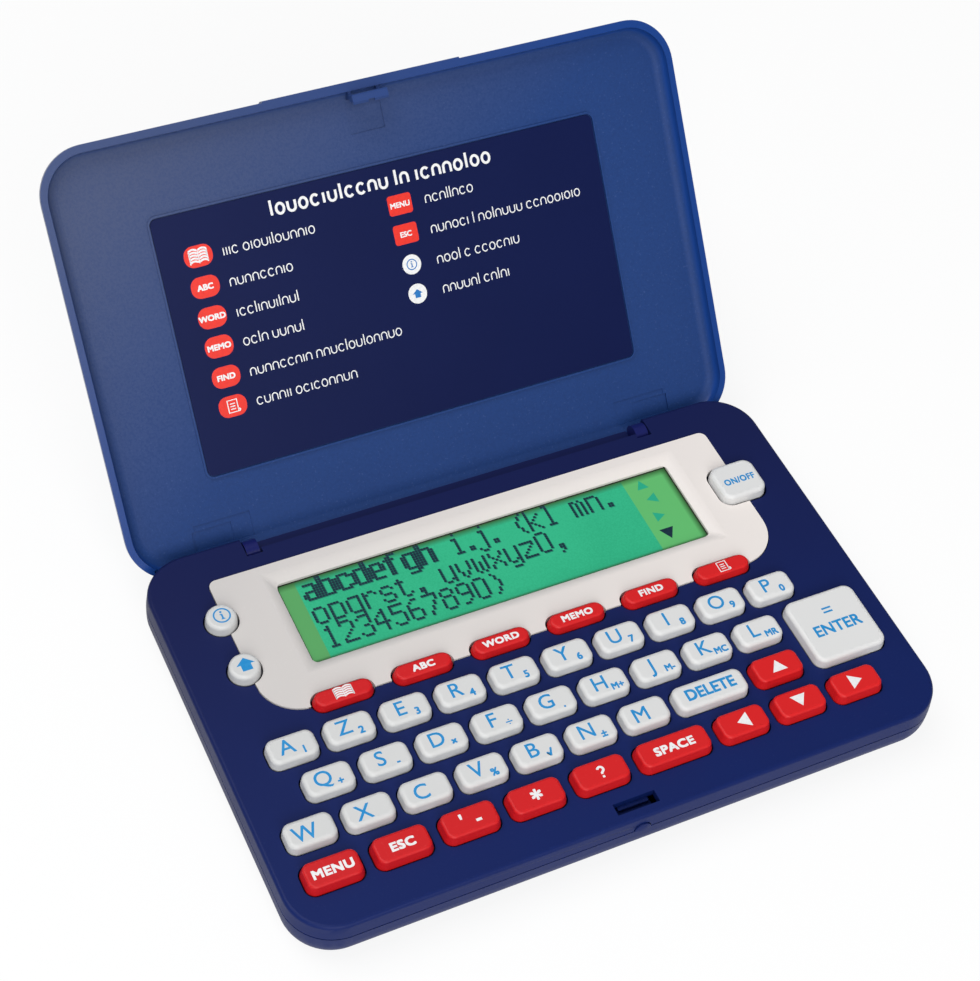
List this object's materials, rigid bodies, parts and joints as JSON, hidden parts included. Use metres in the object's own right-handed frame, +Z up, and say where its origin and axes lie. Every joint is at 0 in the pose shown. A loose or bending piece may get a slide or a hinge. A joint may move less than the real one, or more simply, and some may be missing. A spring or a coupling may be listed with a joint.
{
  "type": "electronic dictionary",
  "caption": "Pocket electronic dictionary: a keyboard base with a small display, and a tray-shaped lid on a rear hinge that latches over the keys.",
  "frame": {"origin": "on the table, under the middle of the base", "axes": "+Z up, +Y from the front edge to the hinge, +X to the right of a person who types"},
  "size_m": [0.1378, 0.144, 0.0753],
  "materials": {
    "base_plastic": "satin",
    "lid_plastic": "fine grain",
    "label_film": "satin",
    "bezel_plastic": "satin",
    "white_keys": "satin",
    "red_keys": "satin",
    "display_glass": "gloss",
    "key_rubber": "matt",
    "board_laminate": "satin",
    "bright_steel": "bright"
  },
  "bodies": {
    "base": {"upper_case": "base_plastic", "lower_case": "base_plastic", "display_bezel": "bezel_plastic", "display_panel": "display_glass", "keypad_sheet": "key_rubber", "circuit_board": "board_laminate", "coin_cells": "bright_steel", "battery_cover": "base_plastic", "latch_spring": "bright_steel", "case_screws": "bright_steel"},
    "lid": {"lid_shell": "lid_plastic", "lid_label": "label_film"},
    "button": {"release_button": "lid_plastic"},
    "key_a_body": {"key_a": "white_keys"},
    "key_z_body": {"key_z": "white_keys"},
    "key_e_body": {"key_e": "white_keys"},
    "key_r_letter_body": {"key_r_letter": "white_keys"},
    "key_t_body": {"key_t": "white_keys"},
    "key_y_body": {"key_y": "white_keys"},
    "key_u_body": {"key_u": "white_keys"},
    "key_i_body": {"key_i": "white_keys"},
    "key_o_body": {"key_o": "white_keys"},
    "key_p_body": {"key_p": "white_keys"},
    "key_q_body": {"key_q": "white_keys"},
    "key_s_body": {"key_s": "white_keys"},
    "key_d_letter_body": {"key_d_letter": "white_keys"},
    "key_f_body": {"key_f": "white_keys"},
    "key_g_body": {"key_g": "white_keys"},
    "key_h_body": {"key_h": "white_keys"},
    "key_j_body": {"key_j": "white_keys"},
    "key_k_body": {"key_k": "white_keys"},
    "key_l_body": {"key_l": "white_keys"},
    "key_w_letter_body": {"key_w_letter": "white_keys"},
    "key_x_body": {"key_x": "white_keys"},
    "key_c_body": {"key_c": "white_keys"},
    "key_v_body": {"key_v": "white_keys"},
    "key_b_body": {"key_b": "white_keys"},
    "key_n_body": {"key_n": "white_keys"},
    "key_m_body": {"key_m": "white_keys"},
    "key_control_body": {"key_control": "red_keys"},
    "key_escape_body": {"key_escape": "red_keys"},
    "key_quote_body": {"key_quote": "red_keys"},
    "key_star_body": {"key_star": "red_keys"},
    "key_query_body": {"key_query": "red_keys"},
    "key_space_body": {"key_space": "red_keys"},
    "key_left_body": {"key_left": "red_keys"},
    "key_down_body": {"key_down": "red_keys"},
    "key_right_body": {"key_right": "red_keys"},
    "key_up_body": {"key_up": "red_keys"},
    "key_clear_body": {"key_clear": "white_keys"},
    "key_enter_body": {"key_enter": "white_keys"},
    "key_book_body": {"key_book": "red_keys"},
    "key_words_body": {"key_words": "red_keys"},
    "key_verbs_body": {"key_verbs": "red_keys"},
    "key_list_body": {"key_list": "red_keys"},
    "key_index_body": {"key_index": "red_keys"},
    "key_notes_body": {"key_notes": "red_keys"},
    "key_info_body": {"key_info": "white_keys"},
    "key_shift_body": {"key_shift": "white_keys"},
    "key_power_body": {"key_power": "white_keys"}
  },
  "joints": [
    {"name": "lid_hinge", "type": "hinge", "parent": "base", "child": "lid", "pos_m": [0, 0.04176, 0.00972], "axis": [1, 0, 0], "range_deg": [0, 128.65]},
    {"name": "release_press", "type": "slide", "parent": "base", "child": "button", "axis": [0, 1, 0], "range_m": [0, 0.001], "stiffness_N_per_m": 300, "deforming": ["latch_spring"]},
    {"name": "press_a", "type": "slide", "parent": "base", "child": "key_a_body", "axis": [0, 0, -1], "range_m": [0, 0.001], "stiffness_N_per_m": 300, "deforming": ["keypad_sheet"]},
    {"name": "press_z", "type": "slide", "parent": "base", "child": "key_z_body", "axis": [0, 0, -1], "range_m": [0, 0.001], "stiffness_N_per_m": 300, "deforming": ["keypad_sheet"]},
    {"name": "press_e", "type": "slide", "parent": "base", "child": "key_e_body", "axis": [0, 0, -1], "range_m": [0, 0.001], "stiffness_N_per_m": 300, "deforming": ["keypad_sheet"]},
    {"name": "press_r_letter", "type": "slide", "parent": "base", "child": "key_r_letter_body", "axis": [0, 0, -1], "range_m": [0, 0.001], "stiffness_N_per_m": 300, "deforming": ["keypad_sheet"]},
    {"name": "press_t", "type": "slide", "parent": "base", "child": "key_t_body", "axis": [0, 0, -1], "range_m": [0, 0.001], "stiffness_N_per_m": 300, "deforming": ["keypad_sheet"]},
    {"name": "press_y", "type": "slide", "parent": "base", "child": "key_y_body", "axis": [0, 0, -1], "range_m": [0, 0.001], "stiffness_N_per_m": 300, "deforming": ["keypad_sheet"]},
    {"name": "press_u", "type": "slide", "parent": "base", "child": "key_u_body", "axis": [0, 0, -1], "range_m": [0, 0.001], "stiffness_N_per_m": 300, "deforming": ["keypad_sheet"]},
    {"name": "press_i", "type": "slide", "parent": "base", "child": "key_i_body", "axis": [0, 0, -1], "range_m": [0, 0.001], "stiffness_N_per_m": 300, "deforming": ["keypad_sheet"]},
    {"name": "press_o", "type": "slide", "parent": "base", "child": "key_o_body", "axis": [0, 0, -1], "range_m": [0, 0.001], "stiffness_N_per_m": 300, "deforming": ["keypad_sheet"]},
    {"name": "press_p", "type": "slide", "parent": "base", "child": "key_p_body", "axis": [0, 0, -1], "range_m": [0, 0.001], "stiffness_N_per_m": 300, "deforming": ["keypad_sheet"]},
    {"name": "press_q", "type": "slide", "parent": "base", "child": "key_q_body", "axis": [0, 0, -1], "range_m": [0, 0.001], "stiffness_N_per_m": 300, "deforming": ["keypad_sheet"]},
    {"name": "press_s", "type": "slide", "parent": "base", "child": "key_s_body", "axis": [0, 0, -1], "range_m": [0, 0.001], "stiffness_N_per_m": 300, "deforming": ["keypad_sheet"]},
    {"name": "press_d_letter", "type": "slide", "parent": "base", "child": "key_d_letter_body", "axis": [0, 0, -1], "range_m": [0, 0.001], "stiffness_N_per_m": 300, "deforming": ["keypad_sheet"]},
    {"name": "press_f", "type": "slide", "parent": "base", "child": "key_f_body", "axis": [0, 0, -1], "range_m": [0, 0.001], "stiffness_N_per_m": 300, "deforming": ["keypad_sheet"]},
    {"name": "press_g", "type": "slide", "parent": "base", "child": "key_g_body", "axis": [0, 0, -1], "range_m": [0, 0.001], "stiffness_N_per_m": 300, "deforming": ["keypad_sheet"]},
    {"name": "press_h", "type": "slide", "parent": "base", "child": "key_h_body", "axis": [0, 0, -1], "range_m": [0, 0.001], "stiffness_N_per_m": 300, "deforming": ["keypad_sheet"]},
    {"name": "press_j", "type": "slide", "parent": "base", "child": "key_j_body", "axis": [0, 0, -1], "range_m": [0, 0.001], "stiffness_N_per_m": 300, "deforming": ["keypad_sheet"]},
    {"name": "press_k", "type": "slide", "parent": "base", "child": "key_k_body", "axis": [0, 0, -1], "range_m": [0, 0.001], "stiffness_N_per_m": 300, "deforming": ["keypad_sheet"]},
    {"name": "press_l", "type": "slide", "parent": "base", "child": "key_l_body", "axis": [0, 0, -1], "range_m": [0, 0.001], "stiffness_N_per_m": 300, "deforming": ["keypad_sheet"]},
    {"name": "press_w_letter", "type": "slide", "parent": "base", "child": "key_w_letter_body", "axis": [0, 0, -1], "range_m": [0, 0.001], "stiffness_N_per_m": 300, "deforming": ["keypad_sheet"]},
    {"name": "press_x", "type": "slide", "parent": "base", "child": "key_x_body", "axis": [0, 0, -1], "range_m": [0, 0.001], "stiffness_N_per_m": 300, "deforming": ["keypad_sheet"]},
    {"name": "press_c", "type": "slide", "parent": "base", "child": "key_c_body", "axis": [0, 0, -1], "range_m": [0, 0.001], "stiffness_N_per_m": 300, "deforming": ["keypad_sheet"]},
    {"name": "press_v", "type": "slide", "parent": "base", "child": "key_v_body", "axis": [0, 0, -1], "range_m": [0, 0.001], "stiffness_N_per_m": 300, "deforming": ["keypad_sheet"]},
    {"name": "press_b", "type": "slide", "parent": "base", "child": "key_b_body", "axis": [0, 0, -1], "range_m": [0, 0.001], "stiffness_N_per_m": 300, "deforming": ["keypad_sheet"]},
    {"name": "press_n", "type": "slide", "parent": "base", "child": "key_n_body", "axis": [0, 0, -1], "range_m": [0, 0.001], "stiffness_N_per_m": 300, "deforming": ["keypad_sheet"]},
    {"name": "press_m", "type": "slide", "parent": "base", "child": "key_m_body", "axis": [0, 0, -1], "range_m": [0, 0.001], "stiffness_N_per_m": 300, "deforming": ["keypad_sheet"]},
    {"name": "press_control", "type": "slide", "parent": "base", "child": "key_control_body", "axis": [0, 0, -1], "range_m": [0, 0.001], "stiffness_N_per_m": 300, "deforming": ["keypad_sheet"]},
    {"name": "press_escape", "type": "slide", "parent": "base", "child": "key_escape_body", "axis": [0, 0, -1], "range_m": [0, 0.001], "stiffness_N_per_m": 300, "deforming": ["keypad_sheet"]},
    {"name": "press_quote", "type": "slide", "parent": "base", "child": "key_quote_body", "axis": [0, 0, -1], "range_m": [0, 0.001], "stiffness_N_per_m": 300, "deforming": ["keypad_sheet"]},
    {"name": "press_star", "type": "slide", "parent": "base", "child": "key_star_body", "axis": [0, 0, -1], "range_m": [0, 0.001], "stiffness_N_per_m": 300, "deforming": ["keypad_sheet"]},
    {"name": "press_query", "type": "slide", "parent": "base", "child": "key_query_body", "axis": [0, 0, -1], "range_m": [0, 0.001], "stiffness_N_per_m": 300, "deforming": ["keypad_sheet"]},
    {"name": "press_space", "type": "slide", "parent": "base", "child": "key_space_body", "axis": [0, 0, -1], "range_m": [0, 0.001], "stiffness_N_per_m": 300, "deforming": ["keypad_sheet"]},
    {"name": "press_left", "type": "slide", "parent": "base", "child": "key_left_body", "axis": [0, 0, -1], "range_m": [0, 0.001], "stiffness_N_per_m": 300, "deforming": ["keypad_sheet"]},
    {"name": "press_down", "type": "slide", "parent": "base", "child": "key_down_body", "axis": [0, 0, -1], "range_m": [0, 0.001], "stiffness_N_per_m": 300, "deforming": ["keypad_sheet"]},
    {"name": "press_right", "type": "slide", "parent": "base", "child": "key_right_body", "axis": [0, 0, -1], "range_m": [0, 0.001], "stiffness_N_per_m": 300, "deforming": ["keypad_sheet"]},
    {"name": "press_up", "type": "slide", "parent": "base", "child": "key_up_body", "axis": [0, 0, -1], "range_m": [0, 0.001], "stiffness_N_per_m": 300, "deforming": ["keypad_sheet"]},
    {"name": "press_clear", "type": "slide", "parent": "base", "child": "key_clear_body", "axis": [0, 0, -1], "range_m": [0, 0.001], "stiffness_N_per_m": 300, "deforming": ["keypad_sheet"]},
    {"name": "press_enter", "type": "slide", "parent": "base", "child": "key_enter_body", "axis": [0, 0, -1], "range_m": [0, 0.001], "stiffness_N_per_m": 300, "deforming": ["keypad_sheet"]},
    {"name": "press_book", "type": "slide", "parent": "base", "child": "key_book_body", "axis": [0, 0, -1], "range_m": [0, 0.001], "stiffness_N_per_m": 300, "deforming": ["keypad_sheet"]},
    {"name": "press_words", "type": "slide", "parent": "base", "child": "key_words_body", "axis": [0, 0, -1], "range_m": [0, 0.001], "stiffness_N_per_m": 300, "deforming": ["keypad_sheet"]},
    {"name": "press_verbs", "type": "slide", "parent": "base", "child": "key_verbs_body", "axis": [0, 0, -1], "range_m": [0, 0.001], "stiffness_N_per_m": 300, "deforming": ["keypad_sheet"]},
    {"name": "press_list", "type": "slide", "parent": "base", "child": "key_list_body", "axis": [0, 0, -1], "range_m": [0, 0.001], "stiffness_N_per_m": 300, "deforming": ["keypad_sheet"]},
    {"name": "press_index", "type": "slide", "parent": "base", "child": "key_index_body", "axis": [0, 0, -1], "range_m": [0, 0.001], "stiffness_N_per_m": 300, "deforming": ["keypad_sheet"]},
    {"name": "press_notes", "type": "slide", "parent": "base", "child": "key_notes_body", "axis": [0, 0, -1], "range_m": [0, 0.001], "stiffness_N_per_m": 300, "deforming": ["keypad_sheet"]},
    {"name": "press_info", "type": "slide", "parent": "base", "child": "key_info_body", "axis": [0, 0, -1], "range_m": [0, 0.001], "stiffness_N_per_m": 300, "deforming": ["keypad_sheet"]},
    {"name": "press_shift", "type": "slide", "parent": "base", "child": "key_shift_body", "axis": [0, 0, -1], "range_m": [0, 0.001], "stiffness_N_per_m": 300, "deforming": ["keypad_sheet"]},
    {"name": "press_power", "type": "slide", "parent": "base", "child": "key_power_body", "axis": [0, 0, -1], "range_m": [0, 0.001], "stiffness_N_per_m": 300, "deforming": ["keypad_sheet"]}
  ]
}
